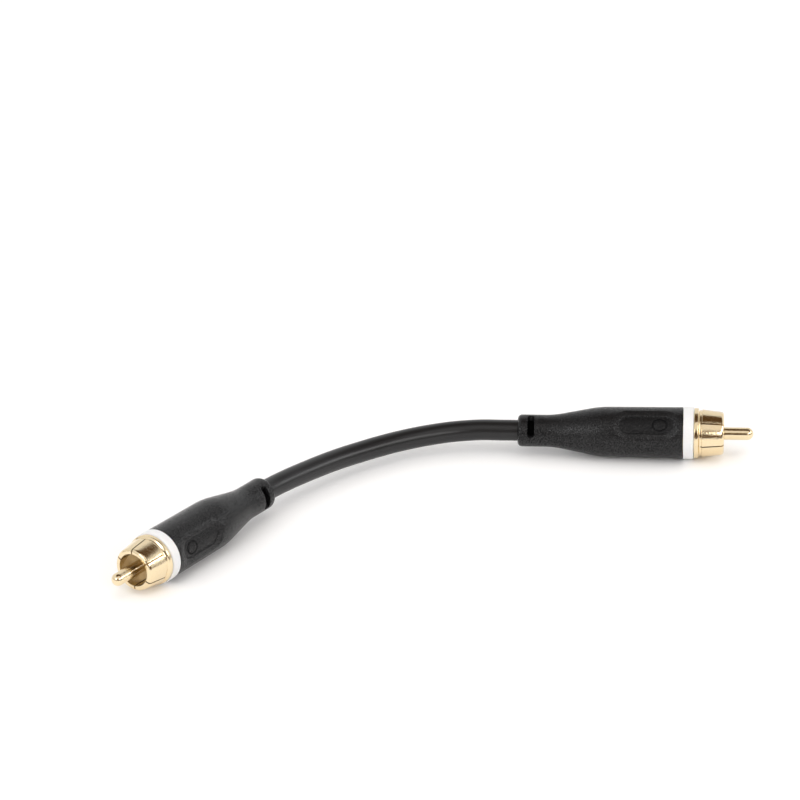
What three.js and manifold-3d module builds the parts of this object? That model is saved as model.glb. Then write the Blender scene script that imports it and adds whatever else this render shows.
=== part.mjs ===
// RCA audio patch cable: two moulded phono plugs on a short coaxial lead.
//
// Millimetres, +Z up. The origin is on the surface, under the middle of the two plugs.
// +X runs from plug b to plug a and the lead bows towards +Y.
// A plug is drawn in its own frame: +Y along its axis, from the mouth of the boot where the
// lead leaves to the tip of the centre pin, and +Z out through the middle of the grip pad.
// "Station" is a distance along that axis. Outlines are lists of (radius, station).

import * as THREE from 'three';
import { mergeVertices } from 'three/addons/utils/BufferGeometryUtils.js';
import Module from 'manifold-3d';

const wasm = await Module();
wasm.setup();

// Clearances
const radialGap = 0.05; // between nested round pieces
const seatGap = 0.1; // between faces that meet along the axis
const layerGap = 0.1; // between the layers of the lead

// Lead
const jacketDiameter = 5.3;
const jacketWall = 0.65;
const braidWall = 0.3;
const coreHoleDiameter = 1.0;
const conductorDiameter = 0.8;
const jacketBared = 1.0; // from the end of the jacket to the sleeve that takes the braid
const braidBared = 0.5; // from the end of the braid to the end of the sleeve
const coreBared = 1.0; // from the end of the dielectric to the solder cup
const conductorSeat = 2.9; // of the conductor in the solder cup
const straightRun = 2.3; // of the lead outside each boot before it bends

// Boot
const neckDiameter = 8.1;
const neckLength = 9.1;
const neckEdge = 1.3;
const flareLength = 11.6;
const flareBlend = 2.2;
const shoulderDiameter = 12.6;
const gripLength = 21.0;
const gripWall = 1.3; // of the front of the grip, outside the barrel

// Grip pad: a shallow bevel round a flat-bottomed recess, with one plain disc
const padStation = 32.4;
const padLength = 13.7;
const padWidth = 5.35;
const padBevel = 1.55;
const padBevelDepth = 0.5;
const padStep = 0.3;
const discOffset = 3.4; // from the end of the recess to the middle of the disc
const discDiameter = 3.9;
const discGroove = 0.4;
const discGrooveDepth = 0.2;

// Strain-relief windows in the neck
const windowStation = 3.4;
const windowWidth = 1.75;
const windowSpan = 95; // degrees

// Colour band
const bandWall = 1.4; // outside the barrel
const bandWidth = 2.6;
const bandEdge = 0.3;

// Contact shell
const flangeRise = 1.175; // outside the barrel
const flangeWidth = 1.0;
const grooveWidth = 0.95;
const grooveDiameter = 11.6;
const petalLength = 5.55;
const petalBaseDiameter = 12.0;
const petalTipDiameter = 10.7;
const lipRadius = 0.85;
const lipChamfer = 0.1;
const socketDiameter = 8.3;
const slotCount = 6;
const slotWidth = 0.35;
const slotRunOut = 0.3; // of the slots into the groove
const barrelDiameter = 10.4;
const barrelSeat = 3.2; // of the barrel in the boot
const webThickness = 1.6;
const webBore = 4.2;
const chamberDiameter = 5.8;
const chamberBore = 4.6;
const chamberLength = 8.0;
const solderWindowWidth = 3.2;
const solderWindowLength = 5.0;
const sleeveWall = 0.4;
const sleeveLength = 6.0;
const sleeveSlit = 0.4;
const sleeveSlitLength = 5.0;

// Insulator
const socketDepth = 7.2; // from the mouth of the shell to the face of the insulator
const spigotLength = 1.4; // behind the web

// Centre pin
const pinDiameter = 3.18;
const pinReach = 7.4; // past the mouth of the shell
const pinShoulderDiameter = 3.8;
const pinShoulderWidth = 0.8;
const cupDiameter = 2.7;
const cupBore = 1.8;
const cupLength = 3.6;
const cupDepth = 3.3;
const cupScoop = 2.0;

// Solder
const solderSeat = 2.4; // in the cup
const solderFillet = 0.7; // behind the cup
const filletDiameter = 1.6;

// Ferrule
const ferruleDiameter = 5.8;
const ferruleInset = 0.2; // from each end of the sleeve
const crimpCount = 2;
const crimpDepth = 0.25;
const crimpWidth = 1.1;

// Inner mould
const mouldDiameter = 9.2;
const mouldTailDiameter = 7.2;
const mouldTailLength = 2.0;
const mouldGrip = 3.5; // of the mould on the end of the jacket
const mouldKeyCount = 1;
const mouldKeyDepth = 0.4;
const mouldKeyWidth = 2.0;
const mouldStep = 0.6; // from the end of the jacket to the wider bore

// Where the lead leaves each plug: x and y
const exitRight = [37.0, 14.28];
const exitLeft = [-34.87, 13.65];

// How each plug lies: the way it points, the way its pad is turned about its axis, and the way
// the slots of its shell are turned from its pad
const plugs = [
  { tag: 'a', exit: exitRight, heading: -31.2, roll: 44, shellTurn: -4 },
  { tag: 'b', exit: exitLeft, heading: -153.35, roll: -78, shellTurn: 23 },
];

// Route of the free lead from plug b to plug a: x, y and the height of its middle
const leadRoute = [
  [-27.5, 16.75, 5.9],
  [-22.9, 18.4, 5.75],
  [-18.1, 19.93, 5.6],
  [-13.1, 21.38, 5.45],
  [-7.9, 22.56, 5.3],
  [-2.7, 23.38, 5.2],
  [2.6, 23.9, 5.2],
  [7.65, 24.1, 5.2],
  [12.55, 23.82, 5.3],
  [17.2, 23.17, 5.4],
  [21.6, 22.13, 5.55],
  [25.78, 20.63, 5.7],
  [29.7, 18.71, 5.85],
  [33.2, 16.59, 5.9],
];

// Facets
const bodySides = 30;
const innerSides = 16;
const leadSides = 10;
const leadSteps = 22;
const arcSteps = 3;
const slotEndSteps = 4;
const slotSideSteps = 4;

// Diameters that follow the barrel
const gripFrontDiameter = barrelDiameter + 2 * gripWall;
const bandDiameter = barrelDiameter + 2 * bandWall;
const flangeDiameter = barrelDiameter + 2 * flangeRise;

// Stations along a plug, worked out from the lengths above
const shoulderStation = neckLength + flareLength;
const bootFront = shoulderStation + gripLength;
const bandRear = bootFront + seatGap;
const bandFront = bandRear + bandWidth;
const flangeRear = bandFront + seatGap;
const flangeFront = flangeRear + flangeWidth;
const petalRear = flangeFront + grooveWidth;
const shellFront = petalRear + petalLength;
const pinTip = shellFront + pinReach;
const barrelRear = bootFront - barrelSeat;
const webFront = barrelRear + webThickness;
const insulatorFront = shellFront - socketDepth;
const insulatorRear = barrelRear - spigotLength;
const shoulderFront = insulatorRear - seatGap;
const shoulderRear = shoulderFront - pinShoulderWidth;
const cupRear = shoulderRear - cupLength;
const chamberRear = barrelRear - chamberLength;
const sleeveRear = chamberRear - sleeveLength;
const jacketEnd = sleeveRear - jacketBared;
const braidEnd = chamberRear - braidBared;
const coreEnd = cupRear - coreBared;
const conductorEnd = cupRear + conductorSeat;
const mouldFront = barrelRear - seatGap;
const mouldRear = jacketEnd - mouldGrip;

// Radii of the lead's layers, from the outside in
const jacketRadius = jacketDiameter / 2;
const jacketBore = jacketRadius - jacketWall;
const braidRadius = jacketBore - layerGap;
const braidBore = braidRadius - braidWall;
const coreRadius = braidBore - layerGap;
const sleeveBore = clearBore(braidRadius, bodySides);
const sleeveRadius = sleeveBore + sleeveWall;

// Finishes
const finishes = {
  boot: new THREE.MeshStandardMaterial({ color: '#2c2c2e', roughness: 0.75, metalness: 0 }),
  jacket: new THREE.MeshStandardMaterial({ color: '#353538', roughness: 0.45, metalness: 0 }),
  band: new THREE.MeshStandardMaterial({ color: '#f2f2f2', roughness: 0.4, metalness: 0 }),
  gold: new THREE.MeshStandardMaterial({ color: '#e8c57c', roughness: 0.18, metalness: 1 }),
  brass: new THREE.MeshStandardMaterial({ color: '#c9a45a', roughness: 0.35, metalness: 1 }),
  nylon: new THREE.MeshStandardMaterial({ color: '#e9e6dc', roughness: 0.5, metalness: 0 }),
  mould: new THREE.MeshStandardMaterial({ color: '#d9dcd8', roughness: 0.55, metalness: 0 }),
  copper: new THREE.MeshStandardMaterial({ color: '#c77b4a', roughness: 0.3, metalness: 1 }),
  solder: new THREE.MeshStandardMaterial({ color: '#b9bcc0', roughness: 0.3, metalness: 1 }),
};

// A closed geometry as a solid that can be joined and cut
function toSolid(geometry) {
  const bare = geometry.clone();
  bare.deleteAttribute('normal');
  bare.deleteAttribute('uv');
  const merged = mergeVertices(bare);
  const triangles = [];
  for (let i = 0; i < merged.index.count; i += 3) {
    const corner = [0, 1, 2].map((k) => merged.index.getX(i + k));
    if (new Set(corner).size === 3) triangles.push(...corner);
  }
  return new wasm.Manifold(new wasm.Mesh({
    numProp: 3,
    vertProperties: new Float32Array(merged.attributes.position.array),
    triVerts: new Uint32Array(triangles),
  }));
}

function toMesh(name, solid, finish) {
  const { vertProperties, triVerts } = solid.getMesh();
  const geometry = new THREE.BufferGeometry();
  geometry.setAttribute('position', new THREE.BufferAttribute(vertProperties, 3));
  geometry.setIndex(new THREE.BufferAttribute(triVerts, 1));
  geometry.computeVertexNormals();
  const mesh = new THREE.Mesh(geometry, finishes[finish].clone());
  mesh.name = name;
  return mesh;
}

// A piece turned about the plug's axis from a closed outline
function turned(outline, sides) {
  return toSolid(new THREE.LatheGeometry(outline.getPoints(arcSteps), sides));
}

function outlineThrough(corners) {
  const outline = new THREE.Path();
  corners.forEach(([radius, station], i) => {
    if (i === 0) outline.moveTo(radius, station);
    else outline.lineTo(radius, station);
  });
  return outline;
}

// Radius of a faceted bore whose flats clear a round piece inside it
function clearBore(radius, sides) {
  return (radius + radialGap) / Math.cos(Math.PI / sides);
}

// Radius of a round piece that clears the flats of a faceted bore
function insideBore(radius, sides) {
  return radius * Math.cos(Math.PI / sides) - radialGap;
}

// A block for cutting: centred on x = 0, between two stations and two heights
function block(width, rear, front, low, high) {
  const box = new THREE.BoxGeometry(width, front - rear, high - low);
  box.translate(0, (front + rear) / 2, (high + low) / 2);
  return box;
}

function cutAll(solid, cutters) {
  return cutters.reduce((left, cutter) => left.subtract(toSolid(cutter)), solid);
}

// Radius of the tapered grip, and of the neck, at a station
function gripRadiusAt(station) {
  const share = (station - shoulderStation) / gripLength;
  return THREE.MathUtils.lerp(shoulderDiameter, gripFrontDiameter, share) / 2;
}

function neckRadiusAt() {
  return neckDiameter / 2;
}

// A round-ended shape wrapped on the plug. Its spine is a line along the plug or round it, and
// each level is [distance from the spine, depth below the surface]. The levels join into one
// closed skin, which ends on the spine or, for a ring, closes on its first level.
function wrapped({ station, halfSpine, roundPlug, levels, ring, radiusAt }) {
  const turn = roundPlug ? -1 : 1;
  const sideSteps = roundPlug ? slotSideSteps : 1;
  const loop = [];
  for (const end of [1, -1]) {
    const firstAngle = (-end * Math.PI) / 2;
    for (let i = 0; i <= slotEndSteps; i += 1) {
      loop.push({ along: end * halfSpine, angle: firstAngle + (Math.PI * i) / slotEndSteps });
    }
    for (let i = 1; i < sideSteps; i += 1) {
      const along = end * halfSpine * (1 - (2 * i) / sideSteps);
      loop.push({ along, angle: firstAngle + Math.PI });
    }
  }
  const positions = [];
  for (const [distance, depth] of levels) {
    for (const { along, angle } of loop) {
      const lengthwise = along + distance * Math.cos(angle);
      const sideways = distance * Math.sin(angle) * turn;
      const at = station + (roundPlug ? sideways : lengthwise);
      const sweep = (roundPlug ? lengthwise : sideways) / radiusAt(station);
      const radius = radiusAt(at) - depth;
      positions.push(radius * Math.sin(sweep), at, radius * Math.cos(sweep));
    }
  }
  const index = [];
  const count = loop.length;
  const joins = ring ? levels.length : levels.length - 1;
  for (let level = 0; level < joins; level += 1) {
    const next = (level + 1) % levels.length;
    for (let i = 0; i < count; i += 1) {
      const j = (i + 1) % count;
      const [p, q, r, s] = [level * count + i, level * count + j, next * count + i, next * count + j];
      index.push(p, s, q, p, r, s);
    }
  }
  const geometry = new THREE.BufferGeometry();
  geometry.setAttribute('position', new THREE.Float32BufferAttribute(positions, 3));
  geometry.setIndex(index);
  return geometry;
}

// Boot: a collar, a waist that flares, and a grip with a pad and a strain-relief window on
// each side. Its inside follows the lead, the inner mould and the barrel of the shell.
function bootOutline() {
  const neck = neckDiameter / 2;
  const shoulder = shoulderDiameter / 2;
  const flareRun = flareBlend / flareLength;
  const outline = new THREE.Path();
  const leadBore = clearBore(jacketRadius, bodySides);
  const barrelBore = clearBore(barrelDiameter / 2, bodySides);
  outline.moveTo(leadBore, 0);
  outline.lineTo(neck - neckEdge, 0);
  outline.absarc(neck - neckEdge, neckEdge, neckEdge, -Math.PI / 2, 0, false);
  outline.lineTo(neck, neckLength - flareBlend);
  outline.quadraticCurveTo(
    neck,
    neckLength,
    THREE.MathUtils.lerp(neck, shoulder, flareRun),
    neckLength + flareBlend,
  );
  outline.lineTo(THREE.MathUtils.lerp(shoulder, neck, flareRun), shoulderStation - flareBlend);
  outline.quadraticCurveTo(
    shoulder,
    shoulderStation,
    gripRadiusAt(shoulderStation + flareBlend),
    shoulderStation + flareBlend,
  );
  outline.lineTo(gripFrontDiameter / 2, bootFront);
  outline.lineTo(barrelBore, bootFront);
  outline.lineTo(barrelBore, barrelRear - seatGap / 2);
  for (const [radius, station] of mouldCorners().reverse()) {
    outline.lineTo(clearBore(radius, bodySides), station);
  }
  outline.lineTo(clearBore(mouldTailDiameter / 2, bodySides), mouldRear - seatGap);
  outline.lineTo(leadBore, mouldRear - seatGap);
  outline.lineTo(leadBore, 0);
  return outline;
}

function padCutters() {
  const recess = padWidth / 2;
  const floor = padBevelDepth + padStep;
  const overshoot = padBevelDepth / 2;
  const rim = recess + padBevel * (1 + overshoot / padBevelDepth);
  const clear = padWidth / 2;
  const halfSpine = padLength / 2 - recess;
  const pad = wrapped({
    station: padStation,
    halfSpine,
    levels: [
      [0, floor], [recess / 2, floor], [recess, floor], [recess, padBevelDepth],
      [rim, -overshoot], [rim, -clear], [0, -clear],
    ],
    radiusAt: gripRadiusAt,
  });
  const disc = discDiameter / 2;
  const groove = wrapped({
    station: padStation + padLength / 2 - discOffset,
    halfSpine: 0,
    levels: [
      [disc - discGroove, floor + discGrooveDepth], [disc, floor + discGrooveDepth],
      [disc, padBevelDepth], [disc - discGroove, padBevelDepth],
    ],
    ring: true,
    radiusAt: gripRadiusAt,
  });
  return [pad, groove];
}

function windowCutter() {
  const halfArc = THREE.MathUtils.degToRad(windowSpan / 2) * neckRadiusAt();
  const low = neckRadiusAt() - jacketRadius / 2;
  return wrapped({
    station: windowStation,
    halfSpine: halfArc - windowWidth / 2,
    roundPlug: true,
    levels: [[0, low], [windowWidth / 2, low], [windowWidth / 2, -windowWidth], [0, -windowWidth]],
    radiusAt: neckRadiusAt,
  });
}

function boot() {
  const oneSide = [...padCutters(), windowCutter()];
  const otherSide = oneSide.map((cutter) => cutter.clone().rotateY(Math.PI));
  return cutAll(turned(bootOutline(), bodySides), [...oneSide, ...otherSide]);
}

// Colour band: sits on the barrel between the boot and the flange
function colourBand() {
  const outer = bandDiameter / 2;
  const inner = clearBore(barrelDiameter / 2, bodySides);
  return turned(outlineThrough([
    [inner, bandRear], [outer, bandRear], [outer, bandFront - bandEdge],
    [outer - bandEdge, bandFront], [inner, bandFront], [inner, bandRear],
  ]), bodySides);
}

// Contact shell: slit sleeve for the braid, chamber round the solder cup, web that carries the
// insulator, barrel for the boot and band, flange, groove and split petals round the socket
function shellOutline() {
  const sleeve = sleeveRadius;
  const socket = socketDiameter / 2;
  const tip = petalTipDiameter / 2;
  const outline = outlineThrough([
    [socket, shellFront - lipChamfer], [socket, webFront], [webBore / 2, webFront],
    [webBore / 2, barrelRear], [chamberBore / 2, barrelRear],
    [chamberBore / 2, chamberRear + sleeveWall], [sleeveBore, chamberRear + sleeveWall],
    [sleeveBore, sleeveRear], [sleeve, sleeveRear], [sleeve, chamberRear],
    [chamberDiameter / 2, chamberRear], [chamberDiameter / 2, barrelRear],
    [barrelDiameter / 2, barrelRear], [barrelDiameter / 2, flangeRear],
    [flangeDiameter / 2, flangeRear], [flangeDiameter / 2, flangeFront],
    [grooveDiameter / 2, flangeFront + grooveWidth / 2], [grooveDiameter / 2, petalRear],
    [petalBaseDiameter / 2, petalRear], [tip, shellFront - lipRadius],
  ]);
  outline.quadraticCurveTo(
    THREE.MathUtils.lerp(tip, petalBaseDiameter / 2, -lipRadius / petalLength),
    shellFront,
    tip - lipRadius,
    shellFront,
  );
  outline.lineTo(socket + lipChamfer, shellFront);
  outline.lineTo(socket, shellFront - lipChamfer);
  return outline;
}

function contactShell() {
  const cutters = [];
  const slotRear = petalRear - slotRunOut;
  for (let i = 0; i < slotCount; i += 1) {
    const slot = block(slotWidth, slotRear, shellFront + slotRunOut, 0, flangeDiameter);
    cutters.push(slot.rotateY((2 * Math.PI * i) / slotCount));
  }
  const slitRear = sleeveRear - sleeveSlit;
  const slitFront = sleeveRear + sleeveSlitLength;
  cutters.push(block(sleeveSlit, slitRear, slitFront, -chamberDiameter, chamberDiameter));
  const windowRear = cupRear - cupScoop;
  const windowFront = windowRear + solderWindowLength;
  cutters.push(block(solderWindowWidth, windowRear, windowFront, 0, chamberDiameter));
  return cutAll(turned(shellOutline(), bodySides), cutters);
}

// Insulator: fills the back of the socket, with a spigot through the web
function insulator() {
  const outer = insideBore(socketDiameter / 2, bodySides);
  const spigot = insideBore(webBore / 2, bodySides);
  const bore = clearBore(pinDiameter / 2, innerSides);
  return turned(outlineThrough([
    [bore, insulatorRear], [spigot, insulatorRear], [spigot, webFront + seatGap],
    [outer, webFront + seatGap], [outer, insulatorFront], [bore, insulatorFront],
    [bore, insulatorRear],
  ]), innerSides);
}

// Centre pin: solder cup, shoulder and a shank with a round nose
function centrePin() {
  const shank = pinDiameter / 2;
  const outline = outlineThrough([
    [0, cupRear + cupDepth], [cupBore / 2, cupRear + cupDepth], [cupBore / 2, cupRear],
    [cupDiameter / 2, cupRear], [cupDiameter / 2, shoulderRear],
    [pinShoulderDiameter / 2, shoulderRear], [pinShoulderDiameter / 2, shoulderFront],
    [shank, shoulderFront], [shank, pinTip - shank],
  ]);
  outline.absarc(0, pinTip - shank, shank, 0, Math.PI / 2, false);
  const scoop = block(cupDiameter, cupRear - cupScoop, cupRear + cupScoop, cupBore / 4, cupDiameter);
  return cutAll(turned(outline, innerSides), [scoop]);
}

// Solder round the conductor in the cup, with a fillet behind it
function solderJoint() {
  const inner = clearBore(conductorDiameter / 2, innerSides);
  const inCup = insideBore(cupBore / 2, innerSides);
  const filletFront = cupRear - radialGap;
  return turned(outlineThrough([
    [inner, cupRear - solderFillet], [filletDiameter / 2, filletFront - radialGap],
    [inCup, filletFront], [inCup, cupRear + solderSeat], [inner, cupRear + solderSeat],
    [inner, cupRear - solderFillet],
  ]), innerSides);
}

// Ferrule: clamps the slit sleeve on the braid, with crimped rings
function crimpFerrule() {
  const inner = clearBore(sleeveRadius, innerSides);
  const outer = ferruleDiameter / 2;
  const rear = sleeveRear + ferruleInset;
  const front = chamberRear - ferruleInset;
  const corners = [[inner, rear], [outer, rear]];
  for (let i = 1; i <= crimpCount; i += 1) {
    const middle = THREE.MathUtils.lerp(rear, front, i / (crimpCount + 1));
    corners.push([outer, middle - crimpWidth / 2], [outer - crimpDepth, middle]);
    corners.push([outer, middle + crimpWidth / 2]);
  }
  corners.push([outer, front], [inner, front], [inner, rear]);
  return turned(outlineThrough(corners), innerSides);
}

// Inner mould: grips the end of the jacket and covers the ferrule and chamber. Its key grooves
// hold the boot.
function mouldCorners() {
  const outer = mouldDiameter / 2;
  const corners = [[mouldTailDiameter / 2, mouldRear], [outer, mouldRear + mouldTailLength]];
  for (let i = 1; i <= mouldKeyCount; i += 1) {
    const share = i / (mouldKeyCount + 1);
    const middle = THREE.MathUtils.lerp(mouldRear + mouldTailLength, mouldFront, share);
    corners.push([outer, middle - mouldKeyWidth / 2]);
    corners.push([outer - mouldKeyDepth, middle - mouldKeyWidth / 2 + mouldKeyDepth]);
    corners.push([outer - mouldKeyDepth, middle + mouldKeyWidth / 2 - mouldKeyDepth]);
    corners.push([outer, middle + mouldKeyWidth / 2]);
  }
  corners.push([outer, mouldFront]);
  return corners;
}

function innerMould() {
  const overJacket = clearBore(jacketRadius, innerSides);
  const overChamber = clearBore(Math.max(chamberDiameter, ferruleDiameter) / 2, innerSides);
  const step = jacketEnd + mouldStep;
  return turned(outlineThrough([
    [overJacket, mouldRear], ...mouldCorners(), [overChamber, mouldFront],
    [overChamber, step], [overJacket, step], [overJacket, mouldRear],
  ]), innerSides);
}

const bodyPieces = [
  ['centre_pin', centrePin, 'gold'],
  ['insulator', insulator, 'nylon'],
  ['contact_shell', contactShell, 'gold'],
  ['colour_band', colourBand, 'band'],
  ['inner_mould', innerMould, 'mould'],
  ['boot', boot, 'boot'],
  ['crimp_ferrule', crimpFerrule, 'brass'],
  ['solder_joint', solderJoint, 'solder'],
];

// The grip tapers, so a plug rests on the rear edge of its band and on its shoulder, with the
// mouth of the boot a little lower than the pin
const restRear = shoulderStation + flareBlend;
const restFront = bandRear;
const restRise = bandDiameter / 2 - gripRadiusAt(restRear);
const restTilt = Math.atan2(restRise, restFront - restRear);
const exitHeight = (bandDiameter / 2) * Math.cos(restTilt) - restFront * Math.sin(restTilt);

function headingOf(plug) {
  const heading = THREE.MathUtils.degToRad(plug.heading);
  const level = Math.cos(restTilt);
  return new THREE.Vector3(
    Math.cos(heading) * level,
    Math.sin(heading) * level,
    Math.sin(restTilt),
  );
}

// A point on the axis of a plug where it lies
function axisPoint(plug, station) {
  const exit = new THREE.Vector3(...plug.exit, exitHeight);
  return exit.addScaledVector(headingOf(plug), station);
}

function plugGroup(plug) {
  const upright = new THREE.Group();
  upright.rotation.z = -Math.PI / 2;
  for (const [name, make, finish] of bodyPieces) {
    const piece = toMesh(`${name}_${plug.tag}`, make(), finish);
    if (make === contactShell) piece.rotation.y = THREE.MathUtils.degToRad(plug.shellTurn);
    upright.add(piece);
  }
  const rolled = new THREE.Group();
  rolled.rotation.x = THREE.MathUtils.degToRad(plug.roll);
  rolled.add(upright);
  const tilted = new THREE.Group();
  tilted.rotation.y = -restTilt;
  tilted.add(rolled);
  const placed = new THREE.Group();
  placed.rotation.z = THREE.MathUtils.degToRad(plug.heading);
  placed.position.set(...plug.exit, exitHeight);
  placed.add(tilted);
  return placed;
}

// Lead: each layer follows the same route, straight through both boots to its own end
function leadPath(end) {
  const [plugA, plugB] = plugs;
  const inPlug = [end, end / 2, 0, -straightRun];
  return new THREE.CatmullRomCurve3([
    ...inPlug.map((station) => axisPoint(plugB, station)),
    ...leadRoute.map((point) => new THREE.Vector3(...point)),
    ...inPlug.reverse().map((station) => axisPoint(plugA, station)),
  ]);
}

function sectionPoints(radius) {
  return Array.from({ length: leadSides }, (_, i) => {
    const angle = (2 * Math.PI * i) / leadSides;
    return new THREE.Vector2(radius * Math.cos(angle), radius * Math.sin(angle));
  });
}

function leadLayer(radius, bore, end) {
  const section = new THREE.Shape(sectionPoints(radius));
  if (bore > 0) section.holes.push(new THREE.Path(sectionPoints(bore)));
  return toSolid(new THREE.ExtrudeGeometry(section, {
    steps: leadSteps,
    extrudePath: leadPath(end),
    bevelEnabled: false,
  }));
}

const cable = new THREE.Group();
cable.add(
  ...plugs.map(plugGroup),
  toMesh('cable_jacket', leadLayer(jacketRadius, jacketBore, jacketEnd), 'jacket'),
  toMesh('braid_shield', leadLayer(braidRadius, braidBore, braidEnd), 'copper'),
  toMesh('dielectric', leadLayer(coreRadius, coreHoleDiameter / 2, coreEnd), 'nylon'),
  toMesh('centre_conductor', leadLayer(conductorDiameter / 2, 0, conductorEnd), 'copper'),
);

export default cable;
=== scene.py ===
import math

import bmesh
import bpy
from mathutils import Matrix, Vector
from mathutils.geometry import delaunay_2d_cdt


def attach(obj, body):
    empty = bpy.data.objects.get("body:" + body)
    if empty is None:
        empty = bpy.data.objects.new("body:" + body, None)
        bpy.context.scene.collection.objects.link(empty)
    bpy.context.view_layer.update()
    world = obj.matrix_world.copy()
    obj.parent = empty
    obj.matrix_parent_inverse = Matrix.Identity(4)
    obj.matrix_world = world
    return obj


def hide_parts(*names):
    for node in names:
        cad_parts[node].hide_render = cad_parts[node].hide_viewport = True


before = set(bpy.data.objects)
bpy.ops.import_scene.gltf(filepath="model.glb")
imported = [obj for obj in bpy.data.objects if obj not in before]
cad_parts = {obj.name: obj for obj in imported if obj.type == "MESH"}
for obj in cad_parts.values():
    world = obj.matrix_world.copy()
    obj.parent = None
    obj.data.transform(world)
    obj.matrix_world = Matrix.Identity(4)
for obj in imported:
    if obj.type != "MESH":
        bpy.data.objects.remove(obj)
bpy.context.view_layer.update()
mm = 0.001
print("frame loaded:", len(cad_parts), "nodes")


# Camera: long lens, a little to the left of square on and looking down 26.5 degrees
camera = {
    "eye": (-562.0, -1068.23, 631.2),
    "aim": (18.09, 42.31, 6.5),
    "lens": 246.96,
    "sensor": 36.0,
}


def setCamera():
    data = bpy.data.cameras.new("camera")
    data.lens = camera["lens"]
    data.sensor_width = camera["sensor"]
    view = bpy.data.objects.new("camera", data)
    bpy.context.scene.collection.objects.link(view)
    view.location = Vector(camera["eye"]) * mm
    look = Vector(camera["aim"]) - Vector(camera["eye"])
    view.rotation_euler = look.to_track_quat("-Z", "Y").to_euler()
    bpy.context.scene.camera = view


setCamera()


# How the plugs lie: headings, rolls and turns in degrees
lay = {
    "plugs": {
        "a": {"exit": (37.0, 14.28), "heading": -31.2, "roll": 44.0, "shellTurn": -4.0},
        "b": {"exit": (-34.87, 13.65), "heading": -153.35, "roll": -78.0, "shellTurn": 23.0},
    },
    "exitHeight": 5.9822,
    "tilt": 0.8459,  # degrees, nose up
}


def plugMatrix(tag, extraTurn=0.0):
    plug = lay["plugs"][tag]
    x, y = plug["exit"]
    place = Matrix.Translation((x, y, lay["exitHeight"]))
    heading = Matrix.Rotation(math.radians(plug["heading"]), 4, "Z")
    tilt = Matrix.Rotation(-math.radians(lay["tilt"]), 4, "Y")
    roll = Matrix.Rotation(math.radians(plug["roll"] + extraTurn), 4, "X")
    return place @ heading @ tilt @ roll


# Node trees
def addNode(tree, kind, settings=None, **links):
    node = tree.nodes.new(kind)
    for name, value in (settings or {}).items():
        setattr(node, name, value)
    for name, value in links.items():
        key = int(name[2:]) if name.startswith("in") and name[2:].isdigit() else name
        socket = node.inputs[key]
        if isinstance(value, bpy.types.NodeSocket):
            tree.links.new(value, socket)
        else:
            socket.default_value = value
    return node


def linear(hexColour):
    channels = [int(hexColour[i:i + 2], 16) / 255 for i in (1, 3, 5)]
    curve = [c / 12.92 if c <= 0.04045 else ((c + 0.055) / 1.055) ** 2.4 for c in channels]
    return (*curve, 1.0)


def newMaterial(name):
    material = bpy.data.materials.new(name)
    material.use_nodes = True
    tree = material.node_tree
    tree.nodes.clear()
    shader = tree.nodes.new("ShaderNodeBsdfPrincipled")
    output = tree.nodes.new("ShaderNodeOutputMaterial")
    tree.links.new(shader.outputs["BSDF"], output.inputs["Surface"])
    return material, tree, shader


# Lead: one smooth curve from inside plug b to inside plug a
lead = {
    "diameter": 5.3,
    "endInPlug": 23.5,  # from a boot's mouth to the end inside it
    "straightRun": 2.3,  # straight out of a boot's mouth
    "route": [
        (-27.5, 16.75, 5.9), (-22.9, 18.4, 5.75), (-18.1, 19.93, 5.6), (-13.1, 21.38, 5.45),
        (-7.9, 22.56, 5.3), (-2.7, 23.38, 5.2), (2.6, 23.9, 5.2), (7.65, 24.1, 5.2),
        (12.55, 23.82, 5.3), (17.2, 23.17, 5.4), (21.6, 22.13, 5.55), (25.78, 20.63, 5.7),
        (29.7, 18.71, 5.85), (33.2, 16.59, 5.9),
    ],
    "sides": 48,
    "spacing": 0.8,
    "crease": 40,
}


def leadPoints():
    end = lead["endInPlug"]
    stations = [end, end * 2 / 3, end / 3, 0.0, -lead["straightRun"]]
    fromB = [plugMatrix("b") @ Vector((s, 0, 0)) for s in stations]
    toA = [plugMatrix("a") @ Vector((s, 0, 0)) for s in reversed(stations)]
    return [p * mm for p in [*fromB, *map(Vector, lead["route"]), *toA]]


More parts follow.
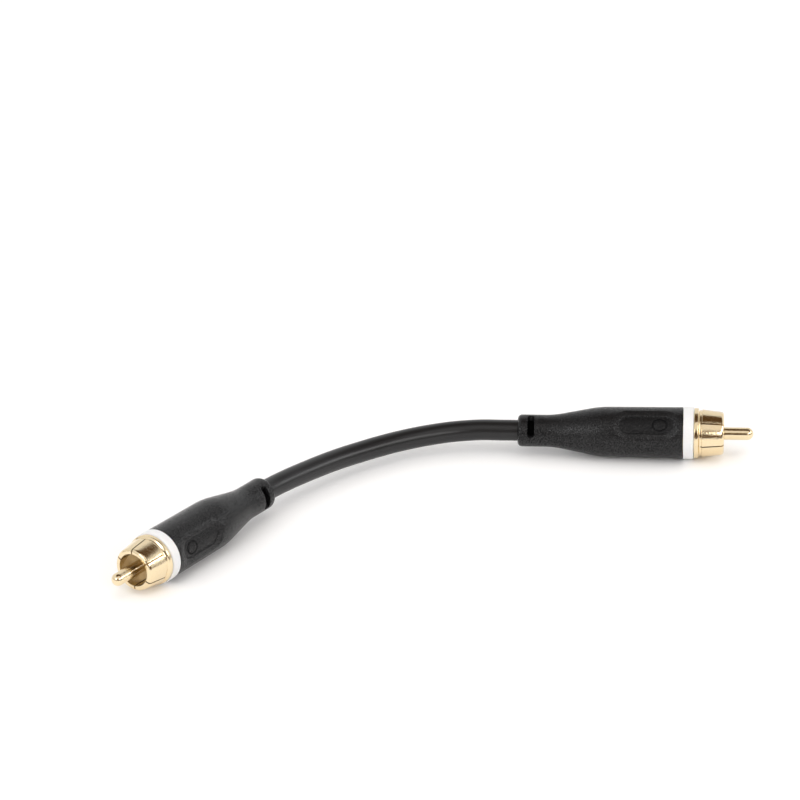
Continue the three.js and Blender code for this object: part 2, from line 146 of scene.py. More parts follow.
def leadTree():
    tree = bpy.data.node_groups.new("leadTube", "GeometryNodeTree")
    face = tree.interface
    face.new_socket("Geometry", in_out="INPUT", socket_type="NodeSocketGeometry")
    for name, kind in (("Radius", "Float"), ("Spacing", "Float"), ("Sides", "Int")):
        face.new_socket(name, in_out="INPUT", socket_type="NodeSocket" + kind)
    face.new_socket("Finish", in_out="INPUT", socket_type="NodeSocketMaterial")
    face.new_socket("Geometry", in_out="OUTPUT", socket_type="NodeSocketGeometry")
    given = tree.nodes.new("NodeGroupInput").outputs
    even = addNode(tree, "GeometryNodeResampleCurve", {"mode": "LENGTH"},
                   Curve=given["Geometry"], Length=given["Spacing"])
    runs = addNode(tree, "GeometryNodeSplineParameter")
    whole = addNode(tree, "GeometryNodeSplineLength")
    left = addNode(tree, "ShaderNodeMath", {"operation": "SUBTRACT"},
                   in0=whole.outputs["Length"], in1=runs.outputs["Length"])
    nearer = addNode(tree, "ShaderNodeMath", {"operation": "MINIMUM"},
                     in0=left.outputs[0], in1=runs.outputs["Length"])
    along = addNode(tree, "GeometryNodeStoreNamedAttribute", {"data_type": "FLOAT"},
                    Geometry=even.outputs[0], Name="fromEnd", Value=nearer.outputs[0])
    circle = addNode(tree, "GeometryNodeCurvePrimitiveCircle",
                     Resolution=given["Sides"], Radius=given["Radius"])
    turns = addNode(tree, "GeometryNodeSplineParameter")
    around = addNode(tree, "GeometryNodeStoreNamedAttribute", {"data_type": "FLOAT"},
                     Geometry=circle.outputs[0], Name="aroundLead",
                     Value=turns.outputs["Factor"])
    tube = addNode(tree, "GeometryNodeCurveToMesh", None, Curve=along.outputs[0],
                   in1=around.outputs[0])
    tube.inputs["Fill Caps"].default_value = True
    real = addNode(tree, "GeometryNodeRealizeInstances", Geometry=tube.outputs[0])
    finish = addNode(tree, "GeometryNodeSetMaterial", Geometry=real.outputs[0],
                     Material=given["Finish"])
    out = tree.nodes.new("NodeGroupOutput")
    tree.links.new(finish.outputs[0], out.inputs[0])
    return tree


# Runs a tree on an object and keeps the result as a plain mesh with its place in it
def baked(source, tree, name, values):
    modifier = source.modifiers.new("nodes", "NODES")
    modifier.node_group = tree
    for item in tree.interface.items_tree:
        if item.in_out == "INPUT" and item.name in values:
            modifier[item.identifier] = values[item.name]
    bpy.context.view_layer.update()
    depsgraph = bpy.context.evaluated_depsgraph_get()
    mesh = bpy.data.meshes.new_from_object(source.evaluated_get(depsgraph))
    source.modifiers.remove(modifier)
    bpy.data.objects.remove(source)
    mesh.name = name
    piece = bpy.data.objects.new(name, mesh)
    bpy.context.scene.collection.objects.link(piece)
    return piece


def buildLead(material):
    points = leadPoints()
    data = bpy.data.curves.new("leadPath", "CURVE")
    data.dimensions = "3D"
    data.twist_mode = "MINIMUM"
    spline = data.splines.new("BEZIER")
    spline.bezier_points.add(len(points) - 1)
    for knot, point in zip(spline.bezier_points, points):
        knot.co = point
        knot.handle_left_type = knot.handle_right_type = "AUTO"
    path = bpy.data.objects.new("leadPath", data)
    bpy.context.scene.collection.objects.link(path)
    piece = baked(path, leadTree(), "leadJacket", {
        "Radius": lead["diameter"] / 2 * mm,
        "Spacing": lead["spacing"] * mm,
        "Sides": lead["sides"],
        "Finish": material,
    })
    shadeByAngle(piece.data, lead["crease"])
    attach(piece, "root")
    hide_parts("cable_jacket")


# Meshes
joinDistance = 0.0005  # points nearer than this are one


def shadeByAngle(mesh, degrees):
    for face in mesh.polygons:
        face.use_smooth = True
    mesh.set_sharp_from_angle(angle=math.radians(degrees))


# Keeps each point's place on its own plug, in mm, for patterns that follow the turning
def finishMesh(mesh, place, angle, material):
    bm = bmesh.new()
    bm.from_mesh(mesh)
    bmesh.ops.remove_doubles(bm, verts=bm.verts, dist=joinDistance)
    bmesh.ops.recalc_face_normals(bm, faces=bm.faces)
    bm.to_mesh(mesh)
    bm.free()
    own = mesh.attributes.new("plugPlace", "FLOAT_VECTOR", "POINT")
    own.data.foreach_set("vector", [c for v in mesh.vertices for c in v.co])
    mesh.transform(place)
    mesh.transform(Matrix.Scale(mm, 4))
    shadeByAngle(mesh, angle)
    mesh.materials.clear()
    mesh.materials.append(material)


def addPiece(name, mesh, node):
    piece = bpy.data.objects.new(name, mesh)
    bpy.context.scene.collection.objects.link(piece)
    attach(piece, "root")
    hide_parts(node)


# A closed outline of (radius, station) with each corner blended over the length it names
def blended(corners, steps=5):
    outline = []
    for i, (radius, station, blend) in enumerate(corners):
        here = Vector((radius, station))
        if not blend:
            outline.append(here)
            continue
        before = Vector(corners[i - 1][:2])
        after = Vector(corners[(i + 1) % len(corners)][:2])
        start = here + (before - here).normalized() * blend
        end = here + (after - here).normalized() * blend
        for k in range(steps + 1):
            t = k / steps
            outline.append(start * (1 - t) ** 2 + here * (2 * t * (1 - t)) + end * t ** 2)
    return outline


# Long straight stretches of a closed outline cut into shorter ones
def spaced(outline, longest):
    points = []
    for here, after in zip(outline, outline[1:] + outline[:1]):
        count = max(1, math.ceil((after - here).length / longest(here, after)))
        points += [here.lerp(after, k / count) for k in range(count)]
    return points


def turnedMesh(name, outline, sides):
    verts = []
    for radius, station in outline:
        for i in range(sides):
            angle = 2 * math.pi * i / sides
            verts.append((station, -radius * math.sin(angle), radius * math.cos(angle)))
    faces = []
    rows = len(outline)
    for k in range(rows):
        for i in range(sides):
            j = (i + 1) % sides
            n = (k + 1) % rows
            faces.append((k * sides + i, k * sides + j, n * sides + j, n * sides + i))
    mesh = bpy.data.meshes.new(name)
    mesh.from_pydata(verts, [], faces)
    return mesh


# Boot: collar, neck with a window on each side, flared waist and grip with a bevelled pad
boot = {
    "neckRadius": 4.05, "neckLength": 9.1, "mouthEdge": 1.3,
    "flareLength": 11.6, "flareBlend": 2.2,
    "shoulderRadius": 6.3, "gripLength": 21.0, "frontRadius": 6.5, "frontEdge": 0.25,
    "leadBore": 2.7, "boreEdge": 0.2, "barrelBore": 5.28, "barrelRear": 38.45,
    "mouldBore": 4.68, "mouldTail": 3.67, "mouldRear": 19.9, "mouldShoulder": 22.0,
    "columns": 96, "rowSpacing": 0.5, "innerSpacing": 2.0, "crease": 38,
    "loopGap": 0.16,  # least distance from a row's point to a loop of a pad or window
    "slack": 0.01,  # how far a point may lie from the wall that it is on
}
pad = {
    "station": 32.4, "length": 13.7, "width": 5.35,
    "halfTurn": 1.2,  # radians of the grip, each way, that it stays inside
    # from the outside in: distance from the spine, and depth below the grip
    "levels": [
        (4.45, 0.0), (4.33, 0.006), (4.21, 0.022), (4.09, 0.05), (3.6, 0.2), (3.1, 0.36),
        (2.82, 0.45), (2.75, 0.475), (2.7, 0.51), (2.66, 0.56), (2.63, 0.64), (2.6, 0.73),
        (2.55, 0.78), (2.48, 0.8),
    ],
    "disc": 3.4,  # from the end of the recess to the middle of the disc
    "discLevels": [
        (2.04, 0.8), (1.99, 0.82), (1.95, 0.89), (1.91, 1.03), (1.85, 1.1), (1.68, 1.1),
        (1.62, 1.03), (1.58, 0.89), (1.54, 0.82), (1.49, 0.8),
    ],
    "endSteps": 20, "sideSteps": 18,
}
window = {
    "station": 3.4, "width": 1.75, "span": 95.0,
    # from the outside in: distance from the spine, and depth below the neck
    "levels": [(1.02, 0.0), (0.96, 0.005), (0.91, 0.03), (0.885, 0.07), (0.875, 0.13)],
    "endSteps": 12, "sideSteps": 14,
}
halfPad = (pad["length"] - pad["width"]) / 2
halfWindow = math.radians(window["span"] / 2) * boot["neckRadius"] - window["width"] / 2
discStation = pad["station"] + pad["length"] / 2 - pad["disc"]


def bootOutline():
    b = boot
    shoulder = b["neckLength"] + b["flareLength"]
    front = shoulder + b["gripLength"]
    corners = [
        (b["leadBore"], 0.0, b["boreEdge"]), (b["neckRadius"], 0.0, b["mouthEdge"]),
        (b["neckRadius"], b["neckLength"], b["flareBlend"]),
        (b["shoulderRadius"], shoulder, b["flareBlend"]),
        (b["frontRadius"], front, b["frontEdge"]), (b["barrelBore"], front, 0.0),
        (b["barrelBore"], b["barrelRear"], 0.0), (b["mouldBore"], b["barrelRear"], 0.0),
        (b["mouldBore"], b["mouldShoulder"], 0.0), (b["mouldTail"], b["mouldRear"], 0.0),
        (b["leadBore"], b["mouldRear"], 0.0),
    ]

    def longest(here, after):
        inNeck = max(here.y, after.y) < b["neckLength"]
        wide = max(here.x, after.x) > b["mouldBore"]
        return b["rowSpacing"] if inNeck or wide else b["innerSpacing"]

    return spaced(blended(corners, steps=10), longest)


# The points of a round-ended loop about a spine: (lengthwise, sideways)
def roundLoop(halfSpine, distance, endSteps, sideSteps):
    loop = []
    for end in (1, -1):
        for i in range(endSteps + 1):
            angle = math.pi * (i / endSteps - 0.5) + (0 if end > 0 else math.pi)
            loop.append((end * halfSpine + distance * math.cos(angle),
                         distance * math.sin(angle)))
        for i in range(1, sideSteps if halfSpine else 1):
            along = end * halfSpine * (1 - 2 * i / sideSteps)
            loop.append((along, end * distance))
    return loop


def spineDistance(lengthwise, sideways, halfSpine):
    return math.hypot(max(0.0, abs(lengthwise) - halfSpine), sideways)


def depthAt(levels, distance):
    if distance >= levels[0][0]:
        return 0.0
    for (far, shallow), (near, deep) in zip(levels, levels[1:]):
        if distance >= near:
            return shallow + (deep - shallow) * (far - distance) / (far - near)
    return levels[-1][1]


# The closed outline, how far along it each point lies, and which points are on the outer
# skin and in the lead's bore
def unrolledOutline():
    outline = bootOutline()
    closed = outline + outline[:1]
    run = [0.0]
    for here, after in zip(closed, closed[1:]):
        run.append(run[-1] + (after - here).length)
    widest = max(range(len(outline)), key=lambda k: (outline[k].x, outline[k].y))
    bore = boot["leadBore"] + boot["slack"]
    keys = range(len(closed))
    skin = {
        "points": closed, "run": run,
        "outer": [k for k in keys if k <= widest],
        "bore": [k for k in keys if k > widest and closed[k].x <= bore],
    }
    skin["padRadius"] = outlineAt(skin, runAt(skin, pad["station"], "outer")).x
    return skin


def runAt(skin, station, side):
    pairs = sorted((skin["points"][k].y, skin["run"][k]) for k in skin[side])
    for (low, a), (high, b) in zip(pairs, pairs[1:]):
        if low <= station <= high:
            return a + (b - a) * (station - low) / max(high - low, 1e-9)
    return pairs[-1][1]


def outlineAt(skin, length):
    points, run = skin["points"], skin["run"]
    for k in range(len(run) - 1):
        if length <= run[k + 1]:
            share = (length - run[k]) / max(run[k + 1] - run[k], 1e-9)
            return points[k].lerp(points[k + 1], share)
    return points[-1]


# The loops of the pads and windows, laid flat: the (angle, run, depth) of each point, the
# edges that the fill has to keep, and the two loops that each window's wall joins
def skinLoops(skin):
    points = []
    edges = []
    openings = []

    def addLoop(loop, depth, toSkin):
        first = len(points)
        points.extend((*toSkin(along, across), depth) for along, across in loop)
        count = len(loop)
        edges.extend((first + i, first + (i + 1) % count) for i in range(count))
        return list(range(first, first + count))

    def onGrip(side, middle):
        return lambda along, across: (side + across / skin["padRadius"],
                                      runAt(skin, middle + along, "outer"))

    def onNeck(side, wall):
        return lambda along, across: (side + along / boot["neckRadius"],
                                      runAt(skin, window["station"] + across, wall))

    def windowLoop(distance):
        return roundLoop(halfWindow, distance, window["endSteps"], window["sideSteps"])

    for side in (0.0, math.pi):
        for distance, depth in pad["levels"]:
            loop = roundLoop(halfPad, distance, pad["endSteps"], pad["sideSteps"])
            addLoop(loop, depth, onGrip(side, pad["station"]))
        for distance, depth in pad["discLevels"]:
            addLoop(roundLoop(0, distance, pad["endSteps"], 1), depth, onGrip(side, discStation))
        for distance, depth in window["levels"]:
            mouth = addLoop(windowLoop(distance), depth, onNeck(side, "outer"))
        floor = addLoop(windowLoop(window["levels"][-1][0]), 0.0, onNeck(side, "bore"))
        openings.append((mouth, floor))
    return points, edges, openings


# How deep the skin of the grip lies at a spot, or None where a loop is too near
def gripDepth(station, across):
    gap = boot["loopGap"]
    reach = spineDistance(station - pad["station"], across, halfPad)
    if reach >= pad["levels"][0][0] + gap:
        return 0.0
    toDisc = math.hypot(station - discStation, across)
    inside = reach < pad["levels"][-1][0] - gap
    offDisc = toDisc > pad["discLevels"][0][0] + gap
    onDisc = toDisc < pad["discLevels"][-1][0] - gap
    return depthAt(pad["levels"], reach) if inside and (offDisc or onDisc) else None


# How far a spot of the neck or bore lies from the spine of a window
def windowReach(station, turn):
    return spineDistance(turn * boot["neckRadius"], station - window["station"], halfWindow)


# Rows and columns over the rest of the skin, kept clear of the loops
def skinRows(skin):
    points = []
    for k, (here, length) in enumerate(zip(skin["points"], skin["run"])):
        onOuter = k in skin["outer"]
        onNeckOrBore = onOuter or k in skin["bore"]
        for i in range(boot["columns"] + 1):
            angle = -math.pi / 2 + 2 * math.pi * i / boot["columns"]
            depths = [0.0]
            for side in (0.0, math.pi):
                turn = angle - side
                if onOuter and abs(turn) < pad["halfTurn"]:
                    depths.append(gripDepth(here.y, turn * skin["padRadius"]))
                edge = window["levels"][0][0] + boot["loopGap"]
                if onNeckOrBore and windowReach(here.y, turn) < edge:
                    depths.append(None)
            if None not in depths:
                points.append((angle, length, max(depths)))
    return points


# Whether a spot of the flat skin lies over a window, outside or in the lead's bore
def overWindow(skin, spot):
    here = outlineAt(skin, spot.y)
    if boot["leadBore"] + boot["slack"] <= here.x <= boot["neckRadius"] - boot["slack"]:
        return False
    angle = spot.x / boot["shoulderRadius"]
    edge = window["levels"][-1][0]
    return any(windowReach(here.y, angle - side) < edge for side in (0.0, math.pi))


# The whole skin is laid flat as (angle, length along the outline), filled with triangles
# round the loops of the pads and windows, and wrapped back on the outline
def bootMesh(name):
    skin = unrolledOutline()
    points, edges, openings = skinLoops(skin)
    onLoops = len(points)
    points += skinRows(skin)
    scale = boot["shoulderRadius"]
    flat = [Vector((angle * scale, length)) for angle, length, _ in points]
    verts, _, faces, origin, _, _ = delaunay_2d_cdt(flat, edges, [], 0, 1e-7)

    coords = []
    for vert, sources in zip(verts, origin):
        here = outlineAt(skin, min(max(vert.y, 0.0), skin["run"][-1]))
        radius = here.x - (points[sources[0]][2] if sources else 0.0)
        angle = vert.x / scale
        coords.append((here.y, -radius * math.sin(angle), radius * math.cos(angle)))

    kept = []
    for face in faces:
        middle = sum((verts[i] for i in face), Vector((0, 0))) / len(face)
        if not overWindow(skin, middle):
            kept.append(list(face))
    became = {source: i for i, sources in enumerate(origin) for source in sources}
    for mouth, floor in openings:
        for wall in zip(mouth, mouth[1:] + mouth[:1], floor[1:] + floor[:1], floor):
            kept.append([became[k] for k in wall])
    mesh = bpy.data.meshes.new(name)
    mesh.from_pydata(coords, [], kept)
    print("boot skin:", len(coords), "points,", onLoops, "on loops")
    return mesh


# Colour band and the pieces that are turned
band = {"inner": 5.28, "outer": 6.6, "rear": 41.8, "front": 44.4, "edge": 0.45,
        "rearEdge": 0.12, "sides": 96, "crease": 40}
insulator = {
    "bore": 1.65, "outer": 4.08, "spigot": 2.04, "rear": 37.1, "step": 40.2, "front": 44.8,
    "edge": 0.15, "spigotEdge": 0.1, "sides": 64, "crease": 40,
}
pin = {
    "radius": 1.59, "tip": 59.4, "nose": 1.59, "shoulderRadius": 1.9,
    "shoulderRear": 36.2, "shoulderFront": 37.0, "cupRear": 32.6, "cupRadius": 1.35,
    "cupBore": 0.9, "cupDepth": 3.3, "edge": 0.1, "sides": 64, "noseSteps": 14, "crease": 40,
}


def bandOutline():
    b = band
    return blended([
        (b["inner"], b["rear"], 0.0), (b["outer"], b["rear"], b["rearEdge"]),
        (b["outer"], b["front"], b["edge"]), (b["inner"], b["front"], 0.0),
    ])


def insulatorOutline():
    n = insulator
    return blended([
        (n["bore"], n["rear"], 0.0), (n["spigot"], n["rear"], n["spigotEdge"]),
        (n["spigot"], n["step"], 0.0), (n["outer"], n["step"], 0.0),
        (n["outer"], n["front"], n["edge"]), (n["bore"], n["front"], n["edge"]),
    ])


def pinOutline():
    p = pin
    nose = [
        Vector((p["radius"] * math.cos(a), p["tip"] - p["nose"] + p["nose"] * math.sin(a)))
        for a in [math.pi / 2 * k / p["noseSteps"] for k in range(p["noseSteps"] + 1)]
    ]
    cup = p["cupRear"] + p["cupDepth"]
    return blended([
        (0.0, cup, 0.0), (p["cupBore"], cup, 0.0), (p["cupBore"], p["cupRear"], 0.0),
        (p["cupRadius"], p["cupRear"], p["edge"]), (p["cupRadius"], p["shoulderRear"], 0.0),
        (p["shoulderRadius"], p["shoulderRear"], p["edge"]),
        (p["shoulderRadius"], p["shoulderFront"], p["edge"]),
        (p["radius"], p["shoulderFront"], 0.0),
    ]) + nose


# Contact shell: a sixth of it is drawn, with half a slot at each side, and a tree turns the
# copies about the axis
shell = {
    "socket": 4.15, "front": 52.0, "mouthEdge": 0.1,
    "webFront": 40.1, "webBore": 2.1, "barrelRear": 38.5, "barrel": 5.2,
    "chamber": 2.9, "chamberBore": 2.3, "chamberRear": 30.5, "chamberWall": 0.4,
    "sleeve": 2.36, "sleeveBore": 1.96, "sleeveRear": 24.5,
    "flange": 6.375, "flangeRear": 44.5, "flangeFront": 45.5, "flangeEdge": 0.18,
    "groove": 5.8, "grooveSlope": 0.35, "grooveBlend": 0.2, "grooveFront": 46.45,
    "grooveStep": 0.02, "grooveFoot": 0.1, "baseEdge": 0.12,
    "petalBase": 6.0, "petalTip": 5.35, "lip": 0.85,
    "slots": 6, "slotWidth": 0.33, "slotRear": 46.15, "columns": 14,
    "slotEdge": 0.08, "slotEdgeSteps": 2, "slotEdgeAngle": 50, "crease": 32,
}


def shellOutline():
    s = shell
    chamberFloor = s["chamberRear"] + s["chamberWall"]
    grooveRear = s["flangeFront"] + s["grooveSlope"]
    corners = [
        (s["socket"], s["slotRear"], 0.0), (s["socket"], s["webFront"], 0.0),
        (s["webBore"], s["webFront"], 0.0), (s["webBore"], s["barrelRear"], 0.0),
        (s["chamberBore"], s["barrelRear"], 0.0), (s["chamberBore"], chamberFloor, 0.0),
        (s["sleeveBore"], chamberFloor, 0.0), (s["sleeveBore"], s["sleeveRear"], 0.0),
        (s["sleeve"], s["sleeveRear"], 0.0), (s["sleeve"], s["chamberRear"], 0.0),
        (s["chamber"], s["chamberRear"], 0.0), (s["chamber"], s["barrelRear"], 0.0),
        (s["barrel"], s["barrelRear"], 0.0), (s["barrel"], s["flangeRear"], 0.0),
        (s["flange"], s["flangeRear"], s["flangeEdge"]),
        (s["flange"], s["flangeFront"], s["flangeEdge"]),
        (s["groove"], grooveRear, s["grooveBlend"]), (s["groove"], s["slotRear"], 0.0),
        (s["groove"], s["grooveFront"], s["grooveFoot"]),
        (s["petalBase"], s["grooveFront"] + s["grooveStep"], s["baseEdge"]),
        (s["petalTip"], s["front"], s["lip"]), (s["socket"], s["front"], s["mouthEdge"]),
    ]
    return blended(corners, steps=8)


def nearest(outline, *corner):
    return min(range(len(outline)), key=lambda k: (outline[k] - Vector(corner)).length)


def shellSector(name):
    s = shell
    outline = shellOutline()
    first = nearest(outline, s["socket"], s["slotRear"])
    outline = outline[first:] + outline[:first]
    split = nearest(outline, s["groove"], s["slotRear"])
    rows = len(outline)
    sector = 2 * math.pi / s["slots"]
    columns = s["columns"] + 2
    verts = []
    for radius, station in outline:
        edge = math.asin(s["slotWidth"] / 2 / radius)
        inside = [edge + (sector - 2 * edge) * k / (columns - 2) for k in range(columns - 1)]
        for angle in [0.0, *inside, sector]:
            verts.append((station, -radius * math.sin(angle), radius * math.cos(angle)))
    wide = columns + 1
    faces = []
    for k in range(rows):
        n = (k + 1) % rows
        slotted = k >= split
        for c in range(columns):
            if slotted and c in (0, columns - 1):
                continue
            faces.append((k * wide + c, k * wide + c + 1, n * wide + c + 1, n * wide + c))
    petalRows = [*range(split, rows), 0]
    for c in (1, columns - 1):
        faces.append([k * wide + c for k in petalRows])
    for c in (0, columns - 1):
        faces.append((split * wide + c, split * wide + c + 1, c + 1, c))
    mesh = bpy.data.meshes.new(name)
    mesh.from_pydata(verts, [], faces)
    return mesh


def petalTree():
    tree = bpy.data.node_groups.new("petalRing", "GeometryNodeTree")
    face = tree.interface
    face.new_socket("Geometry", in_out="INPUT", socket_type="NodeSocketGeometry")
    face.new_socket("Petals", in_out="INPUT", socket_type="NodeSocketInt")
    face.new_socket("Join", in_out="INPUT", socket_type="NodeSocketFloat")
    face.new_socket("Finish", in_out="INPUT", socket_type="NodeSocketMaterial")
    face.new_socket("Geometry", in_out="OUTPUT", socket_type="NodeSocketGeometry")
    given = tree.nodes.new("NodeGroupInput").outputs
    spots = addNode(tree, "GeometryNodePoints", Count=given["Petals"])
    index = addNode(tree, "GeometryNodeInputIndex")
    share = addNode(tree, "ShaderNodeMath", {"operation": "DIVIDE"},
                    in0=index.outputs[0], in1=given["Petals"])
    turn = addNode(tree, "ShaderNodeMath", {"operation": "MULTIPLY"},
                   in0=share.outputs[0], in1=2 * math.pi)
    axis = addNode(tree, "ShaderNodeCombineXYZ", X=turn.outputs[0])
    copies = addNode(tree, "GeometryNodeInstanceOnPoints", Points=spots.outputs[0],
                     Instance=given["Geometry"], Rotation=axis.outputs[0])
    real = addNode(tree, "GeometryNodeRealizeInstances", Geometry=copies.outputs[0])
    joined = addNode(tree, "GeometryNodeMergeByDistance", Geometry=real.outputs[0],
                     Distance=given["Join"])
    finish = addNode(tree, "GeometryNodeSetMaterial", Geometry=joined.outputs[0],
                     Material=given["Finish"])
    out = tree.nodes.new("NodeGroupOutput")
    tree.links.new(finish.outputs[0], out.inputs[0])
    return tree


def shellMesh(name, material):
    source = bpy.data.objects.new("shellSector", shellSector("shellSector"))
    bpy.context.scene.collection.objects.link(source)
    ring = baked(source, petalTree(), name, {
        "Petals": shell["slots"], "Join": joinDistance, "Finish": material,
    })
    edge = ring.modifiers.new("slotEdge", "BEVEL")
    edge.width = shell["slotEdge"]
    edge.segments = shell["slotEdgeSteps"]
    edge.limit_method = "ANGLE"
    edge.angle_limit = math.radians(shell["slotEdgeAngle"])
    edge.use_clamp_overlap = True
    bpy.context.view_layer.update()
    depsgraph = bpy.context.evaluated_depsgraph_get()
    mesh = bpy.data.meshes.new_from_object(ring.evaluated_get(depsgraph))
    bpy.data.objects.remove(ring)
    return mesh


# Finishes: lengths in mm, tones and spans from low to high
bootFinish = {
    "pebble": 0.4, "fine": 0.25, "fineShare": 0.4, "depth": 0.15,
    "tones": ("#131314", "#1c1c1d"), "toneSpan": (0.35, 0.7),
    "pitToTop": (0.42, 0.62), "gloss": (0.1, 0.5), "roughness": 0.23,
    "recess": (0.5, 1.05), "recessGloss": 0.4, "recessRear": (2.5, 3.0),
}


def sparkErodedPvc():
    # Soft PVC moulded in a spark-eroded tool: a pebbled grain with shiny tops and dull pits,
    # which breaks the highlight into specks and leaves the rest a flat, dark grey. The
    # recess on the grip is never rubbed, so it is duller the deeper it goes
    f = bootFinish
    material, tree, shader = newMaterial("sparkErodedPvc")
    place = addNode(tree, "ShaderNodeTexCoord").outputs["Object"]
    pebbles = addNode(tree, "ShaderNodeTexNoise", None, Vector=place,
                      Scale=1 / (f["pebble"] * mm), Detail=2.0, Roughness=0.6)
    fine = addNode(tree, "ShaderNodeTexNoise", None, Vector=place,
                   Scale=1 / (f["fine"] * mm), Detail=1.0)
    height = addNode(tree, "ShaderNodeMix", {"data_type": "FLOAT"}, Factor=f["fineShare"],
                     A=pebbles.outputs["Fac"], B=fine.outputs["Fac"])
    bump = addNode(tree, "ShaderNodeBump", None, Strength=1.0, Distance=f["depth"] * mm,
                   Height=height.outputs[0])
    tone = addNode(tree, "ShaderNodeValToRGB", None, Fac=pebbles.outputs["Fac"])
    for stop, colour, at in zip(tone.color_ramp.elements, f["tones"], f["toneSpan"]):
        stop.position = at
        stop.color = linear(colour)
    tree.links.new(tone.outputs["Color"], shader.inputs["Base Color"])
    pit, top = f["pitToTop"]
    dull, shiny = f["gloss"]
    tops = addNode(tree, "ShaderNodeMapRange", None, Value=fine.outputs["Fac"],
                   in1=pit, in2=top, in3=dull, in4=shiny)
    own = addNode(tree, "ShaderNodeAttribute", {"attribute_name": "plugPlace"})
    split = addNode(tree, "ShaderNodeSeparateXYZ", None, Vector=own.outputs["Vector"])
    axis = addNode(tree, "ShaderNodeCombineXYZ", None, X=split.outputs["X"])
    radius = addNode(tree, "ShaderNodeVectorMath", {"operation": "DISTANCE"},
                     in0=own.outputs["Vector"], in1=axis.outputs[0])
    shoulder = boot["neckLength"] + boot["flareLength"]
    skin = addNode(tree, "ShaderNodeMapRange", {"clamp": False}, Value=split.outputs["X"],
                   in1=shoulder, in2=shoulder + boot["gripLength"],
                   in3=boot["shoulderRadius"], in4=boot["frontRadius"])
    depth = addNode(tree, "ShaderNodeMath", {"operation": "SUBTRACT"}, in0=skin.outputs[0],
                    in1=radius.outputs["Value"])
    shallow, deep = f["recess"]
    sunk = addNode(tree, "ShaderNodeMapRange", None, Value=depth.outputs[0],
                   in1=shallow, in2=deep, in3=1.0, in4=f["recessGloss"])
    before, after = f["recessRear"]
    onGrip = addNode(tree, "ShaderNodeMapRange", None, Value=split.outputs["X"],
                     in1=shoulder + before, in2=shoulder + after)
    matt = addNode(tree, "ShaderNodeMix", {"data_type": "FLOAT"}, Factor=onGrip.outputs[0],
                   A=1.0, B=sunk.outputs[0])
    level = addNode(tree, "ShaderNodeMath", {"operation": "MULTIPLY"}, in0=tops.outputs[0],
                    in1=matt.outputs[0])
    tree.links.new(level.outputs[0], shader.inputs["Specular IOR Level"])
    tree.links.new(bump.outputs["Normal"], shader.inputs["Normal"])
    shader.inputs["Roughness"].default_value = f["roughness"]
    return material


jacketFinish = {
    "stretch": 25.0,  # mm along the lead that look like one radian round it
    "linesRound": 9.0, "depth": 0.012,
    "tones": ("#161617", "#1d1d1e"), "toneSpan": (0.3, 0.7), "gloss": 0.42, "roughness": 0.3,
    # the ends inside the boots: a painted shade colour, and the length over which it fades
    "hidden": "#060606", "hiddenFade": 0.4,
}


def extrudedPvc():
    # Extruded PVC jacket: smooth and satin, with faint flow lines along the lead; the ends that
    # the boots close over carry painted shade, near black and without gloss, to read black
    # through the windows
    f = jacketFinish
    material, tree, shader = newMaterial("extrudedPvc")
    along = addNode(tree, "ShaderNodeAttribute", {"attribute_name": "fromEnd"})
    around = addNode(tree, "ShaderNodeAttribute", {"attribute_name": "aroundLead"})
    turn = addNode(tree, "ShaderNodeMath", {"operation": "MULTIPLY"},
                   in0=around.outputs["Fac"], in1=2 * math.pi)
    sine = addNode(tree, "ShaderNodeMath", {"operation": "SINE"}, in0=turn.outputs[0])
    cosine = addNode(tree, "ShaderNodeMath", {"operation": "COSINE"}, in0=turn.outputs[0])
    run = addNode(tree, "ShaderNodeMath", {"operation": "MULTIPLY"},
                  in0=along.outputs["Fac"], in1=1 / (f["stretch"] * mm))
    spot = addNode(tree, "ShaderNodeCombineXYZ", None, X=run.outputs[0], Y=sine.outputs[0],
                   Z=cosine.outputs[0])
    lines = addNode(tree, "ShaderNodeTexNoise", None, Vector=spot.outputs[0],
                    Scale=f["linesRound"], Detail=3.0)
    bump = addNode(tree, "ShaderNodeBump", None, Strength=0.5, Distance=f["depth"] * mm,
                   Height=lines.outputs["Fac"])
    tone = addNode(tree, "ShaderNodeValToRGB", None, Fac=lines.outputs["Fac"])
    for stop, colour, at in zip(tone.color_ramp.elements, f["tones"], f["toneSpan"]):
        stop.position = at
        stop.color = linear(colour)
    mouth = lead["endInPlug"] * mm
    # Painted shade: near black and without gloss where the boots close over the lead
    outsidePaintedShade = addNode(tree, "ShaderNodeMapRange", None, Value=along.outputs["Fac"],
                    in1=mouth - f["hiddenFade"] * mm, in2=mouth, in3=0.0, in4=1.0)
    colour = addNode(tree, "ShaderNodeMix", {"data_type": "RGBA"}, Factor=outsidePaintedShade.outputs[0])
    colour.inputs["A"].default_value = linear(f["hidden"])
    tree.links.new(tone.outputs["Color"], colour.inputs["B"])
    tree.links.new(colour.outputs[2], shader.inputs["Base Color"])
    gloss = addNode(tree, "ShaderNodeMath", {"operation": "MULTIPLY"}, in0=outsidePaintedShade.outputs[0],
                    in1=f["gloss"])
    tree.links.new(gloss.outputs[0], shader.inputs["Specular IOR Level"])
    tree.links.new(bump.outputs["Normal"], shader.inputs["Normal"])
    shader.inputs["Roughness"].default_value = f["roughness"]
    return material


bandFinish = {
    "cloud": 0.5, "depth": 0.006, "tones": ("#dcdcdc", "#e6e6e6"), "roughness": 0.38,
    "scatter": 0.08, "scatterDepth": 0.6,
}


